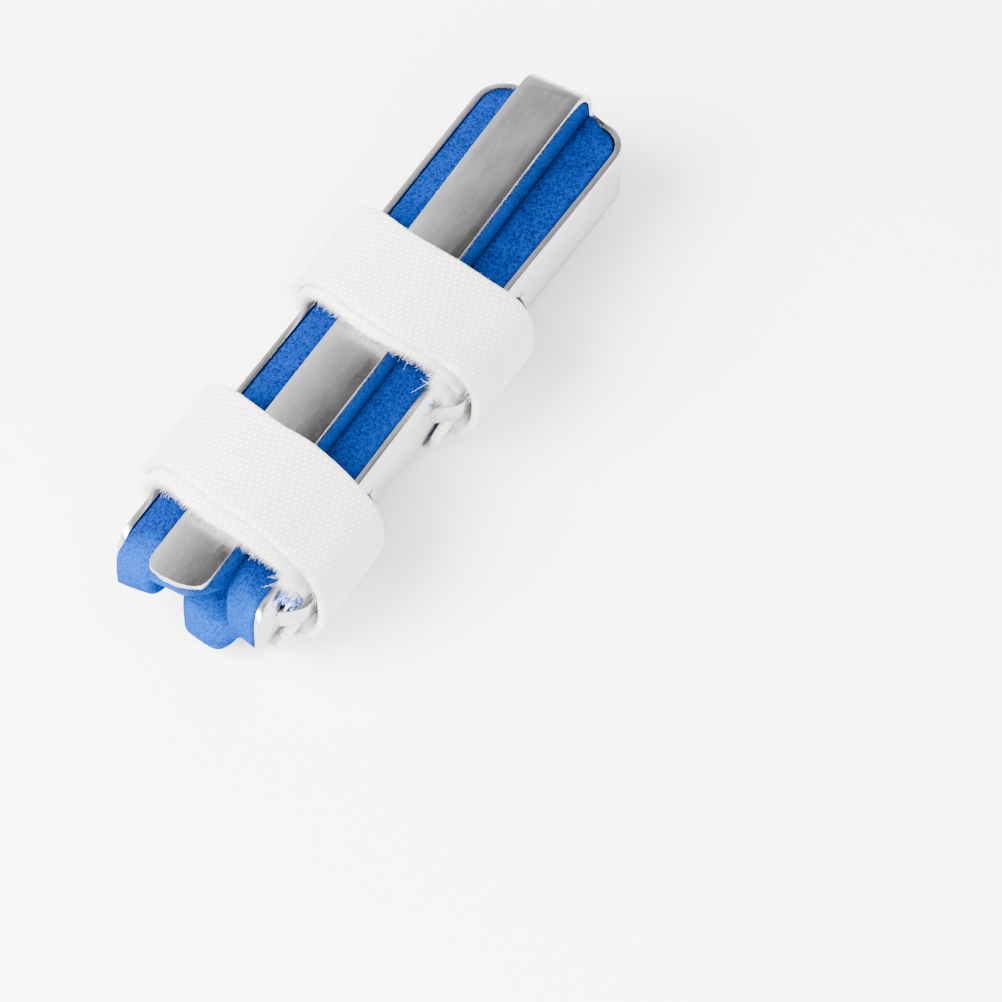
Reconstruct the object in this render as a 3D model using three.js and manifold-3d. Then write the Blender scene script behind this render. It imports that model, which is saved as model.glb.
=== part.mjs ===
// Finger splint with four prongs, two hook and loop straps and a foam lining.
// Millimetres. +X runs from the open base end to the fingertip cap, +Y to the far side,
// +Z up. The origin is on the surface that the straps rest on, under the middle of the whole.
import * as THREE from 'three';
import { mergeVertices } from 'three/addons/utils/BufferGeometryUtils.js';
import { RoundedBoxGeometry } from 'three/addons/geometries/RoundedBoxGeometry.js';
import Module from 'manifold-3d';

const wasm = await Module();
wasm.setup();

// Cage of sheet metal
const splintLength = 95.4;
const sheet = 0.8;
const prongCrown = 0.76; // how far a prong's edges curve in
const crownRun = 36; // length past the fold over which the crown comes in
const foldRadius = 4.3; // outer radius of the fold at the cap
const notchRadius = 1.9; // fillet between two prongs on the cap
const prongTipDepth = 3.1; // length of a prong's rounded end

// The prongs are bent by hand, so each one ends and leans a little differently.
const farSplay = 1.2;
const farRise = 0.3;
const farCrown = 0.27;
const topShift = 0.35;
const nearShort = 4; // how far short of the top prong's end this one stops
const farShort = 6.8;
const bottomShort = 8;

// Foam lining
const cavityHalf = 4.1; // axis to the inner face of a long pad
const foam = 5.2;
const glueGap = 0.3;
const foamInset = 0.05; // foam edge inside the metal edge
const foamProud = 1.6; // foam past a prong's end
const farFoamProud = 2.8;
const foamEdge = 1.6; // rounding of the foam's end
const padGap = 0.3;
const tipPadEdge = 0.6;

// Straps
const strapWidth = 14.4;
const strapThickness = 1.15;
const strapClear = 0.35;
const layerGap = 0.25;
const restSlack = 0.6; // how much wider the ring is before its underside is pressed flat
const farShoulder = 0.8; // how far the stiff strap stands off between the top and the far prong
const nearShoulder = 0.3; // how far its outer turn stands off the bridge
const farDrift = 5.6; // how far it slants towards the tip from the top to the far prong
const headLength = 23.4;
const headHeight = 8.6;
const strapTurn = 524; // angle at which the free end lies, in degrees

// Raised bridges in the near prong that hold the strap heads
const bridgeWidth = 2.6;
const bridgeRun = 16.4; // raised flat stretch
const bridgeRamp = 2;
const bridgeFoot = 1.2;
const slit = 0.5;

// The ring leans back from its bridge to the top prong, and its outer turn drifts a little.
const straps = [
  { name: 'strap_rear', bridgeAt: 18.9, lean: 1.5, drift: 0.7 },
  { name: 'strap_front', bridgeAt: 55.7, lean: 3.9, drift: 0.4 },
];

const prongs = {
  top: {
    quarter: 0, splay: 0, shift: -topShift, crown: prongCrown, shortBy: 0, proud: foamProud,
  },
  far: {
    quarter: 1, splay: farSplay, shift: -farRise, crown: farCrown, shortBy: farShort, proud: farFoamProud,
  },
  bottom: {
    quarter: 2, splay: 0, shift: 0, crown: prongCrown, shortBy: bottomShort, proud: foamProud,
  },
  near: {
    quarter: 3, splay: 0, shift: 0, crown: prongCrown, shortBy: nearShort, proud: foamProud,
  },
};

// Places that several pieces share. The long pads meet edge to edge round the finger.
const cageRadius = cavityHalf + foam + glueGap + sheet; // axis to the outer face of a prong
const prongWidth = 2 * cavityHalf - padGap;
const capRun = cageRadius - foldRadius;
const foldRun = (foldRadius * Math.PI) / 2;
const straightRun = splintLength - foldRadius;
const layerPitch = strapThickness + layerGap;
const strapSeat = strapClear + strapThickness / 2; // outer face of a prong to the strap's middle
const restDrop = cageRadius + strapSeat;
const bridgeInner = cageRadius + strapSeat + strapThickness / 2 + layerGap;
const bridgeOuter = bridgeInner + sheet;

function smoothstep(from, to, value) {
  const share = THREE.MathUtils.clamp((value - from) / (to - from), 0, 1);
  return share * share * (3 - 2 * share);
}

// Turns a place on a prong, seen as the top prong, to the side where that prong is.
function turned(quarter, x, across, radial) {
  const cosine = [1, 0, -1, 0][quarter];
  const sine = [0, 1, 0, -1][quarter];
  const y = across * cosine + radial * sine;
  const z = radial * cosine - across * sine;
  return new THREE.Vector3(x, y, z);
}

// A closed solid: a box with one slice at each station, whose corners the place function moves.
// It is called with the station, the place across from -1 to 1 and the depth from 0 to 1.
function slicedSolid(stations, acrossCount, place) {
  const last = stations.length - 1;
  const box = new THREE.BoxGeometry(last, 2, 1, last, acrossCount, 1);
  const position = box.attributes.position;
  for (let i = 0; i < position.count; i += 1) {
    const station = stations[Math.round(position.getX(i) + last / 2)];
    const placed = place(station, position.getY(i), 0.5 - position.getZ(i));
    position.setXYZ(i, placed.x, placed.y, placed.z);
  }
  return closed(box);
}

// Keeps only the positions, joins the shared corners and turns the faces outward.
function closed(geometry) {
  geometry.deleteAttribute('normal');
  geometry.deleteAttribute('uv');
  const merged = mergeVertices(geometry, 1e-5);
  if (enclosedVolume(merged) < 0) {
    merged.setIndex(Array.from(merged.index.array).reverse());
  }
  return merged;
}

function enclosedVolume(geometry) {
  const position = geometry.attributes.position;
  const corners = [new THREE.Vector3(), new THREE.Vector3(), new THREE.Vector3()];
  let sum = 0;
  for (let i = 0; i < geometry.index.count; i += 3) {
    corners.forEach((corner, k) => corner.fromBufferAttribute(position, geometry.index.getX(i + k)));
    sum += corners[0].dot(corners[1].clone().cross(corners[2])) / 6;
  }
  return sum;
}

function toSolid(geometry) {
  return new wasm.Manifold(new wasm.Mesh({
    numProp: 3,
    vertProperties: new Float32Array(geometry.attributes.position.array),
    triVerts: new Uint32Array(geometry.index.array),
  }));
}

function toGeometry(solid) {
  const mesh = solid.getMesh();
  const geometry = new THREE.BufferGeometry();
  geometry.setAttribute('position', new THREE.BufferAttribute(new Float32Array(mesh.vertProperties), 3));
  geometry.setIndex(Array.from(mesh.triVerts));
  return geometry;
}

// Half the width of a prong at a distance along its face from the middle of the cap.
function prongHalfWidth(run, endRun) {
  const half = prongWidth / 2;
  const notchEnd = half + notchRadius;
  if (run < half) {
    return notchEnd;
  }
  if (run < notchEnd) {
    return notchEnd - Math.sqrt(Math.max(0, notchRadius ** 2 - (notchEnd - run) ** 2));
  }
  const intoTip = THREE.MathUtils.clamp((run - endRun) / prongTipDepth + 1, 0, 1);
  return half * Math.max(0.2, (1 - intoTip ** 2.4) ** (1 / 2.4));
}

// Outer radius of a prong at a place along the length, at the middle of its width.
function prongRadiusAt(prong, x) {
  const run = Math.max(0, splintLength - foldRadius - x);
  return cageRadius + (prong.splay * run) / straightRun;
}

// How far a prong's face lies below its crown, off its middle line and past its fold.
function crownAt(prong, offCentre, past) {
  return prong.crown * (offCentre / (prongWidth / 2)) ** 2 * smoothstep(0, crownRun, past);
}

function prongStations(endRun) {
  const half = prongWidth / 2;
  const stations = [0, half];
  for (let i = 1; i <= 4; i += 1) {
    stations.push(half + notchRadius * Math.sin((i * Math.PI) / 8));
  }
  for (let i = 0; i <= 6; i += 1) {
    stations.push(capRun + (foldRun * i) / 6);
  }
  const folded = capRun + foldRun;
  const tipRun = endRun - prongTipDepth;
  for (let i = 1; i <= 6; i += 1) {
    stations.push(folded + (crownRun * i) / 6);
  }
  for (let i = 1; i <= 3; i += 1) {
    stations.push(folded + crownRun + ((tipRun - folded - crownRun) * i) / 3);
  }
  for (let i = 1; i <= 6; i += 1) {
    stations.push(tipRun + prongTipDepth * Math.sin((i * Math.PI) / 12));
  }
  return stations;
}

function prongSolid(prong) {
  const endRun = capRun + foldRun + straightRun - prong.shortBy;
  return toSolid(slicedSolid(prongStations(endRun), 6, (run, side, depth) => {
    const offCentre = side * prongHalfWidth(run, endRun);
    const across = offCentre + prong.shift;
    const inward = depth * sheet;
    if (run <= capRun) {
      return turned(prong.quarter, splintLength - inward, across, run);
    }
    if (run <= capRun + foldRun) {
      const angle = (run - capRun) / foldRadius;
      const x = splintLength - foldRadius + (foldRadius - inward) * Math.cos(angle);
      return turned(prong.quarter, x, across, capRun + (foldRadius - inward) * Math.sin(angle));
    }
    const past = run - capRun - foldRun;
    const x = splintLength - foldRadius - past;
    const curve = crownAt(prong, offCentre, past);
    return turned(prong.quarter, x, across, prongRadiusAt(prong, x) - inward - curve);
  }));
}

// The strip of a bridge, seen from above as an arch, is cut to its width by the extrusion.
function bridgeSolid(at) {
  const flat = bridgeRun / 2;
  const ramp = flat + bridgeRamp;
  const foot = ramp + bridgeFoot;
  const low = cageRadius - sheet;
  const arch = new THREE.Shape();
  arch.moveTo(-foot, low);
  arch.lineTo(-ramp, low);
  arch.lineTo(-flat, bridgeInner);
  arch.lineTo(flat, bridgeInner);
  arch.lineTo(ramp, low);
  arch.lineTo(foot, low);
  arch.lineTo(foot, cageRadius);
  arch.lineTo(ramp + sheet / 2, cageRadius);
  arch.quadraticCurveTo(flat + sheet, bridgeOuter, flat - sheet, bridgeOuter);
  arch.lineTo(-flat + sheet, bridgeOuter);
  arch.quadraticCurveTo(-flat - sheet, bridgeOuter, -ramp - sheet / 2, cageRadius);
  arch.lineTo(-foot, cageRadius);
  const strip = new THREE.ExtrudeGeometry(arch, { depth: bridgeWidth, bevelEnabled: false, curveSegments: 4 });
  strip.translate(at, 0, -bridgeWidth / 2);
  strip.scale(1, -1, 1);
  return toSolid(closed(strip));
}

// The window that the bridge strip was pushed out of.
function windowSolid(at) {
  const reach = sheet + prongCrown;
  const box = new THREE.BoxGeometry(bridgeRun + 2 * bridgeRamp, 4 * reach, bridgeWidth + 2 * slit);
  box.translate(at, -cageRadius, 0);
  return toSolid(closed(box));
}

function cageGeometry() {
  let cage = prongSolid(prongs.top);
  for (const prong of [prongs.far, prongs.bottom, prongs.near]) {
    cage = cage.add(prongSolid(prong));
  }
  for (const strap of straps) {
    cage = cage.subtract(windowSolid(strap.bridgeAt)).add(bridgeSolid(strap.bridgeAt));
  }
  return toGeometry(cage);
}

// A foam pad lies on the inner face of one prong, from past its end to the cap.
function padGeometry(prong) {
  const start = prong.shortBy - prong.proud;
  const tipRun = prongTipDepth + prong.proud;
  const foldStart = splintLength - foldRadius;
  const innerFold = foldRadius - sheet - glueGap;
  const half = prongWidth / 2 - foamInset;
  const stations = [];
  for (let i = 6; i >= 0; i -= 1) {
    stations.push(start + tipRun * (1 - Math.sin((i * Math.PI) / 12)));
  }
  for (let i = 1; i <= 3; i += 1) {
    stations.push(stations[6] + ((foldStart - crownRun - stations[6]) * i) / 3);
  }
  for (let i = 1; i <= 4; i += 1) {
    stations.push(foldStart - crownRun + (crownRun * i) / 4);
  }
  for (let i = 1; i <= 6; i += 1) {
    stations.push(foldStart + innerFold * Math.sin((i * Math.PI) / 12));
  }
  return slicedSolid(stations, 4, (x, side, depth) => {
    const fromEnd = x - start;
    const tip = Math.min(1, fromEnd / tipRun);
    const width = half * Math.max(0.3, (1 - (1 - tip) ** 2.4) ** (1 / 2.4));
    const into = Math.min(1, fromEnd / foamEdge);
    const edge = foamEdge * (1 - Math.sqrt(Math.max(0, 1 - (1 - into) ** 2)));
    const offCentre = side * width;
    const curve = crownAt(prong, offCentre, foldStart - x);
    const back = prongRadiusAt(prong, x) - sheet - glueGap;
    const folded = Math.max(0, x - foldStart);
    const drop = innerFold - Math.sqrt(Math.max(0, innerFold ** 2 - folded ** 2));
    const outer = back - curve - drop - edge;
    const inner = back - foam + edge;
    return turned(prong.quarter, x, offCentre + prong.shift, outer + (inner - outer) * depth);
  });
}

// The pad behind the cap fills the square between the four long pads.
function tipPadGeometry() {
  const side = 2 * (cavityHalf - padGap);
  const block = new RoundedBoxGeometry(foam, side, side, 2, tipPadEdge);
  block.translate(splintLength - sheet - glueGap - foam / 2, 0, 0);
  return closed(block);
}

// Radius of the strap's middle at an angle. 0 is at the near prong, 90 at the top one.
function strapRadius(strap, angle) {
  const seats = [prongs.near, prongs.top, prongs.far, prongs.bottom].map((prong) => (
    prongRadiusAt(prong, strap.bridgeAt) + strapSeat
  ));
  seats[3] += restSlack;
  const quarter = Math.floor(angle / 90);
  const share = 0.5 - 0.5 * Math.cos(Math.PI * (angle / 90 - quarter));
  const near = seats[(quarter + 4) % 4];
  const next = seats[(quarter + 5) % 4];
  const overBridge = bridgeOuter + layerGap - cageRadius - strapClear;
  const onto = layerPitch * smoothstep(288, 311, angle);
  const rise = overBridge - layerPitch + nearShoulder;
  const bulge = rise * smoothstep(320, 350, angle) * (1 - smoothstep(373, 408, angle));
  const turn = angle % 360;
  const shoulder = farShoulder * smoothstep(88, 130, turn) * (1 - smoothstep(132, 230, turn));
  return near + (next - near) * share + onto + bulge + shoulder;
}

// Middle of the strap in the plane across the splint, pressed flat where it rests.
function strapMiddle(strap, angle) {
  const radius = strapRadius(strap, angle);
  const turn = THREE.MathUtils.degToRad(angle);
  const height = Math.max(radius * Math.sin(turn), -restDrop);
  return new THREE.Vector2(-radius * Math.cos(turn), height);
}

// Where along the splint the middle of the strap's width is.
function strapCentre(strap, angle) {
  const turn = angle % 360;
  const lean = strap.lean * smoothstep(0, 80, turn);
  const slant = farDrift * smoothstep(80, 170, turn);
  const back = (farDrift - strap.lean) * smoothstep(200, 340, turn);
  return strap.bridgeAt - lean + slant - back + strap.drift * smoothstep(370, 440, angle);
}

// Half the strap's width: its head below the bridge is wider, and tapers to its rounded end.
const headOutline = [
  { along: 0, half: 0.6 },
  { along: 0.1, half: 0.76 },
  { along: 0.3, half: 0.88 },
  { along: 0.75, half: 1 },
  { along: 0.9, half: 0.97 },
];

function strapStations() {
  const bridgeEdge = bridgeWidth / 2 + layerGap + slit;
  const seat = cageRadius + strapSeat;
  const neck = -THREE.MathUtils.radToDeg(bridgeEdge / seat);
  const headAngle = THREE.MathUtils.radToDeg(headHeight / seat);
  const stations = headOutline.map((row) => ({
    angle: neck - headAngle * (1 - row.along),
    half: (row.half * headLength) / 2,
  }));
  const count = 76;
  for (let i = 0; i <= count; i += 1) {
    stations.push({ angle: neck + ((strapTurn - neck) * i) / count, half: strapWidth / 2 });
  }
  return stations;
}

function strapGeometry(strap) {
  return slicedSolid(strapStations(), 2, (station, side, depth) => {
    const middle = strapMiddle(strap, station.angle);
    const ahead = strapMiddle(strap, station.angle + 1).sub(strapMiddle(strap, station.angle - 1));
    const outward = new THREE.Vector2(-ahead.y, ahead.x).normalize();
    const at = middle.addScaledVector(outward, (0.5 - depth) * strapThickness);
    const x = strapCentre(strap, station.angle) + side * station.half;
    return new THREE.Vector3(x, at.x, at.y);
  });
}

function finish(colour, roughness, metalness) {
  return new THREE.MeshStandardMaterial({ color: colour, roughness, metalness });
}

function piece(name, geometry, material) {
  geometry.computeVertexNormals();
  const mesh = new THREE.Mesh(geometry, material);
  mesh.name = name;
  return mesh;
}

const splint = new THREE.Group();
splint.add(piece('cage', cageGeometry(), finish(0xcfccc9, 0.36, 1)));
for (const [side, prong] of Object.entries(prongs)) {
  splint.add(piece(`foam_${side}`, padGeometry(prong), finish(0x2a6fd0, 0.95, 0)));
}
splint.add(piece('foam_tip', tipPadGeometry(), finish(0x2a6fd0, 0.95, 0)));
for (const strap of straps) {
  splint.add(piece(strap.name, strapGeometry(strap), finish(0xf1efe9, 0.9, 0)));
}

// It lies on the straps' flat undersides, with the middle of its box over the origin.
const box = new THREE.Box3().setFromObject(splint);
const middle = box.getCenter(new THREE.Vector3());
splint.position.set(-middle.x, -middle.y, -box.min.z);

export default splint;
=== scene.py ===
"""Finger splint in sheet aluminium, with blue foam pads and two white straps, on a pale floor."""

import logging
import math
from dataclasses import dataclass, field
from enum import Enum

import bmesh
import bpy
import numpy as np
from mathutils import Matrix, Vector

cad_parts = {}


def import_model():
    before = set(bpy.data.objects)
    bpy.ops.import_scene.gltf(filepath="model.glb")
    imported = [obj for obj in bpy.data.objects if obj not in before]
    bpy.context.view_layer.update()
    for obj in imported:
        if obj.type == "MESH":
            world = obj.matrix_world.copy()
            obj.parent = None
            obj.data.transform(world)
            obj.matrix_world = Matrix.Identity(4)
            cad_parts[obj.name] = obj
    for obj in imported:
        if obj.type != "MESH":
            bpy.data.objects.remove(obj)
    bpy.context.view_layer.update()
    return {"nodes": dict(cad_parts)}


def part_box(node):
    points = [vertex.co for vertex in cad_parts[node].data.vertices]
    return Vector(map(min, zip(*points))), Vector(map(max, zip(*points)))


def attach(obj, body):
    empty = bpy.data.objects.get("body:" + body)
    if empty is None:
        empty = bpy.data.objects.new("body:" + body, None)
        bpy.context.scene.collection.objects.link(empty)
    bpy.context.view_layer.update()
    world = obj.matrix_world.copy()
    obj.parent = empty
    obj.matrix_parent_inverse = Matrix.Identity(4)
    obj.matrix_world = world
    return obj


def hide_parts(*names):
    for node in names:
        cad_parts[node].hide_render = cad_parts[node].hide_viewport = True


LOG = logging.getLogger("finger_splint")
MM = 0.001


class Side(Enum):
    """The four prongs, by the quarter turn that each one stands at."""

    TOP = 0
    FAR = 1
    BOTTOM = 2
    NEAR = 3


class Coat(Enum):
    """The names of the record's material slots."""

    METAL = "sheet_aluminium"
    FOAM = "blue_foam"
    STRAP = "white_strap"


def smoothstep(low: float, high: float, value: np.ndarray | float) -> np.ndarray | float:
    """Rises smoothly from 0 at low to 1 at high.

    Args:
        low: Where the rise begins.
        high: Where the rise ends.
        value: One number or an array of them.

    Returns:
        The share for each value.
    """
    share = np.clip((value - low) / (high - low), 0.0, 1.0)
    return share * share * (3 - 2 * share)


def ripple(along: np.ndarray, seed: int, waves: int = 5) -> np.ndarray:
    """A smooth uneven line, as a sum of seeded sine waves.

    Args:
        along: Places in millimetres.
        seed: Seed of the line.
        waves: How many waves are added.

    Returns:
        Values that stay mostly between -1 and 1.
    """
    dice = np.random.default_rng(seed)
    total = np.zeros_like(along, dtype=float)
    for _ in range(waves):
        length = dice.uniform(3.0, 16.0)
        total += dice.uniform(0.3, 1.0) * np.sin(2 * np.pi * (along / length + dice.uniform()))
    return total / (0.6 * waves)


# Materials


class Desk:
    """Keeps one material's node tree at hand while it is wired."""

    def __init__(self, name: str) -> None:
        """Makes an empty material with an output and a principled shader."""
        self.material = bpy.data.materials.new(name)
        self.material.use_nodes = True
        self.tree = self.material.node_tree
        self.tree.nodes.clear()
        self.out = self.add("ShaderNodeOutputMaterial")
        self.shader = self.add("ShaderNodeBsdfPrincipled")
        self.wire(self.shader.outputs[0], self.out.inputs["Surface"])

    def add(self, kind: str, **settings: object) -> bpy.types.Node:
        """Adds a node.

        Args:
            kind: The node's type name.
            settings: Properties, or input values by socket name with spaces as underscores.

        Returns:
            The node.
        """
        node = self.tree.nodes.new(kind)
        for key, value in settings.items():
            if hasattr(node, key):
                setattr(node, key, value)
            else:
                node.inputs[key.replace("_", " ")].default_value = value
        return node

    def wire(self, start: bpy.types.NodeSocket, end: bpy.types.NodeSocket) -> None:
        """Joins an output to an input."""
        self.tree.links.new(start, end)

    def set(self, **values: object) -> None:
        """Sets sockets of the principled shader, by name with spaces as underscores."""
        for key, value in values.items():
            self.shader.inputs[key.replace("_", " ")].default_value = value

    def math(
        self, kind: str, first: object, second: object = 0.0, third: object = 0.0
    ) -> bpy.types.NodeSocket:
        """A calculation on sockets or numbers.

        Args:
            kind: Name of the operation.
            first: First socket or number.
            second: Second socket or number.
            third: Third socket or number.

        Returns:
            The result's socket.
        """
        node = self.add("ShaderNodeMath", operation=kind)
        for socket, value in zip(node.inputs, (first, second, third)):
            if isinstance(value, bpy.types.NodeSocket):
                self.wire(value, socket)
            else:
                socket.default_value = value
        return node.outputs[0]

    def place(self, stretch: tuple[float, float, float] = (1, 1, 1)) -> bpy.types.NodeSocket:
        """The object's own coordinates in metres, stretched along each axis."""
        where = self.add("ShaderNodeTexCoord")
        scaled = self.add("ShaderNodeMapping")
        scaled.inputs["Scale"].default_value = stretch
        self.wire(where.outputs["Object"], scaled.inputs["Vector"])
        return scaled.outputs[0]

    def noise(
        self, where: bpy.types.NodeSocket, scale: float, detail: float = 2.0, roughness: float = 0.5
    ) -> bpy.types.NodeSocket:
        """Cloud noise from 0 to 1 at a scale per metre."""
        node = self.add("ShaderNodeTexNoise", Scale=scale, Detail=detail, Roughness=roughness)
        self.wire(where, node.inputs["Vector"])
        return node.outputs["Fac"]

    def ramp(
        self, value: bpy.types.NodeSocket, stops: list[tuple[float, tuple[float, float, float]]]
    ) -> bpy.types.NodeSocket:
        """Colours by value.

        Args:
            value: The socket that picks the colour.
            stops: Places from 0 to 1, each with its colour.

        Returns:
            The colour's socket.
        """
        node = self.add("ShaderNodeValToRGB")
        elements = node.color_ramp.elements
        while len(elements) < len(stops):
            elements.new(0.5)
        for element, (at, colour) in zip(elements, stops):
            element.position = at
            element.color = (*colour, 1)
        self.wire(value, node.inputs[0])
        return node.outputs[0]

    def mix(
        self, share: bpy.types.NodeSocket, first: bpy.types.NodeSocket, second: bpy.types.NodeSocket
    ) -> bpy.types.NodeSocket:
        """Mixes two colours.

        Args:
            share: 0 for the first colour and 1 for the second.
            first: The first colour.
            second: The second colour.

        Returns:
            The colour's socket.
        """
        node = self.add("ShaderNodeMix", data_type="RGBA")
        for socket, value in zip((node.inputs[0], node.inputs[6], node.inputs[7]), (share, first, second)):
            self.wire(value, socket)
        return node.outputs[2]

    def bump(
        self,
        height: bpy.types.NodeSocket,
        strength: float,
        depth: float,
        before: bpy.types.NodeSocket | None = None,
    ) -> bpy.types.NodeSocket:
        """Makes relief from a height.

        Args:
            height: The height, from 0 to 1.
            strength: How strong the relief is.
            depth: Its depth in metres.
            before: An earlier relief that this one lies on.

        Returns:
            The normal's socket.
        """
        node = self.add("ShaderNodeBump", Strength=strength, Distance=depth)
        self.wire(height, node.inputs["Height"])
        if before is not None:
            self.wire(before, node.inputs["Normal"])
        return node.outputs[0]


@dataclass(frozen=True)
class SheetFinish:
    """Satin rolled aluminium with faint streaks along the sheet."""

    name: str = "satin_aluminium"
    colour: tuple[float, float, float] = (0.45, 0.447, 0.445)
    dark: tuple[float, float, float] = (0.35, 0.347, 0.345)
    roughness: float = 0.27
    streak_scale: float = 900.0
    cloud_scale: float = 260.0
    mottle_scale: float = 1300.0
    fine_scale: float = 3200.0

    def make(self) -> bpy.types.Material:
        """Builds the material."""
        desk = Desk(self.name)
        streaks = desk.noise(desk.place((0.25, 1, 1)), self.streak_scale, 4.0, 0.65)
        clouds = desk.noise(desk.place((0.6, 1, 1)), self.cloud_scale, 3.0, 0.6)
        both = desk.math("MULTIPLY_ADD", clouds, 0.6, desk.math("MULTIPLY", streaks, 0.4))
        colour = desk.ramp(both, [(0.32, self.dark), (0.6, self.colour)])
        desk.wire(colour, desk.shader.inputs["Base Color"])
        rough = desk.math("MULTIPLY_ADD", both, 0.16, self.roughness - 0.08)
        desk.wire(rough, desk.shader.inputs["Roughness"])
        desk.set(Metallic=1.0)
        fine = desk.noise(desk.place((0.12, 1, 1)), self.fine_scale, 3.0, 0.6)
        mottle = desk.noise(desk.place((0.45, 1, 1)), self.mottle_scale, 3.0, 0.65)
        relief = desk.bump(fine, 0.3, 0.00003)
        relief = desk.bump(mottle, 0.35, 0.00007, relief)
        relief = desk.bump(clouds, 0.2, 0.0002, relief)
        desk.wire(relief, desk.shader.inputs["Normal"])
        return desk.material


@dataclass(frozen=True)
class CutEdgeHighlightFinish:
    """Sheared edge of the sheet, painted near white: partly its own bright cut finish, partly a painted
    highlight along the edges.
    """

    name: str = "cut_edge_painted_highlight"
    colour: tuple[float, float, float] = (0.96, 0.96, 0.955)
    dark: tuple[float, float, float] = (0.9, 0.9, 0.89)
    roughness: float = 0.22
    metallic: float = 0.55
    drag_scale: float = 1500.0

    def make(self) -> bpy.types.Material:
        """Builds the material."""
        desk = Desk(self.name)
        drag = desk.noise(desk.place(), self.drag_scale, 3.0, 0.6)
        colour = desk.ramp(drag, [(0.3, self.dark), (0.6, self.colour)])
        desk.wire(colour, desk.shader.inputs["Base Color"])
        rough = desk.math("MULTIPLY_ADD", drag, 0.12, self.roughness - 0.05)
        desk.wire(rough, desk.shader.inputs["Roughness"])
        desk.set(Metallic=self.metallic)
        desk.wire(desk.bump(drag, 0.3, 0.00003), desk.shader.inputs["Normal"])
        return desk.material


@dataclass(frozen=True)
class FoamFinish:
    """Open-cell foam: deep blue cut faces with fine cells whose pits are painted darker as shade; paler near
    the pads' base ends, and painted paler as light on the top pad's near side.
    """

    name: str = "blue_cell_foam"
    pit_shade: tuple[float, float, float] = (0.002, 0.005, 0.034)
    deep: tuple[float, float, float] = (0.0022, 0.0095, 0.074)
    light: tuple[float, float, float] = (0.0022, 0.021, 0.135)
    pale: tuple[float, float, float] = (0.002, 0.036, 0.20)
    pale_dim: tuple[float, float, float] = (1.0, 0.45, 0.55)
    cell_scale: float = 3200.0
    grain_scale: float = 2500.0
    soft_scale: float = 330.0

    def make(self) -> bpy.types.Material:
        """Builds the material. The mesh's "pale" attribute says where the foam is lighter."""
        desk = Desk(self.name)
        where = desk.place()
        cells = desk.add("ShaderNodeTexVoronoi", Scale=self.cell_scale)
        desk.wire(where, cells.inputs["Vector"])
        grain = desk.noise(where, self.grain_scale, 3.0, 0.7)
        soft = desk.noise(where, self.soft_scale, 2.0, 0.5)
        speck = desk.math("MULTIPLY_ADD", cells.outputs["Distance"], 0.55, desk.math("MULTIPLY", grain, 0.75))
        speck = desk.math("MULTIPLY_ADD", soft, 0.25, speck)
        # The darkest colour goes where the cells' relief is lowest: painted shade in the pores, mixed with
        # random grain and cloud tone.
        colour = desk.ramp(speck, [(0.56, self.pit_shade), (0.68, self.deep), (0.86, self.light)])
        # The mesh's "pale" attribute mixes in a paler blue near the pads' base ends, and as painted light on
        # the top pad's near side.
        pale = desk.add("ShaderNodeAttribute", attribute_name="pale")
        pale_pit_shade = tuple(value * dim for value, dim in zip(self.pale, self.pale_dim))
        pale_colour = desk.ramp(speck, [(0.54, pale_pit_shade), (0.82, self.pale)])
        desk.wire(desk.mix(pale.outputs["Fac"], colour, pale_colour), desk.shader.inputs["Base Color"])
        desk.set(Roughness=0.95, Sheen_Weight=0.0, Specular_IOR_Level=0.0)
        relief = desk.bump(cells.outputs["Distance"], 0.6, 0.00018)
        relief = desk.bump(soft, 0.35, 0.0006, relief)
        desk.wire(relief, desk.shader.inputs["Normal"])
        return desk.material


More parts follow.
